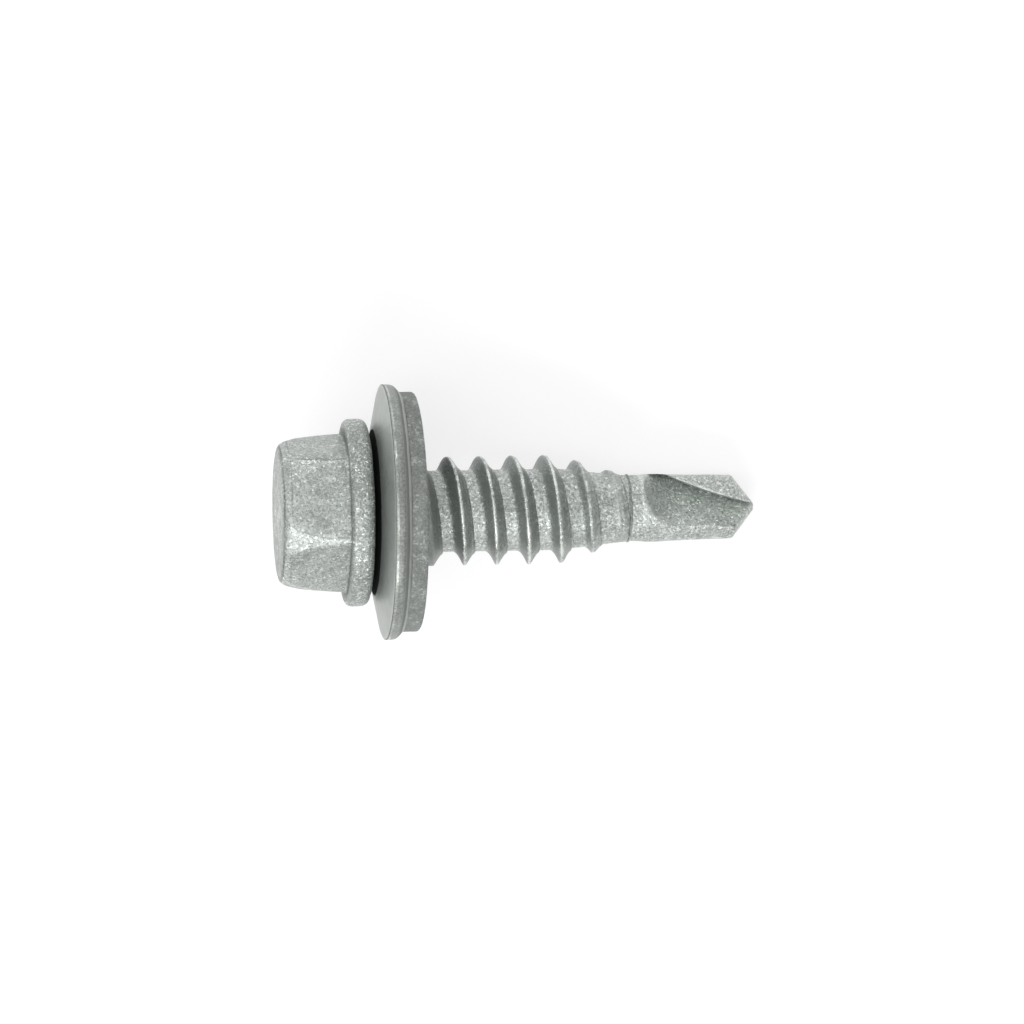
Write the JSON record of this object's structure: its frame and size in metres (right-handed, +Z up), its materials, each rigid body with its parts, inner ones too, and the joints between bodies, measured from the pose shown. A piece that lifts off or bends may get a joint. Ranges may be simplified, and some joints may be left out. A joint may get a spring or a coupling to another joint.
{
  "type": "self drilling screw",
  "caption": "Hex washer head self drilling screw with a coarse thread, a fluted drill point and a loose bonded metal and rubber sealing washer.",
  "frame": {"origin": "on the table under the middle of the screw as it lies, halfway between the end of the head and the tip", "axes": "+Z up from the table, +X towards the drill point; the screw's own axis lies in the XZ plane and dips 16.1 degrees below +X"},
  "size_m": [0.0267, 0.0142, 0.0138],
  "materials": {
    "coated_steel": "grainy zinc flake coating, greenish grey, semi matt with small bright flakes",
    "plate_steel": "smooth matt zinc coating, greenish grey",
    "seal_rubber": "grey vulcanised rubber dusted with the same greenish grey, matt and mottled"
  },
  "bodies": {
    "screw": {"screw": "coated_steel"},
    "washer": {"washer_plate": "plate_steel", "rubber_seal": "seal_rubber"}
  },
  "joints": [
    {"name": "washer_spin", "type": "hinge", "parent": "screw", "child": "washer", "pos_m": [-0.00625, 0, 0.00685], "axis": [0.9608, 0, -0.2774], "continuous": true}
  ]
}
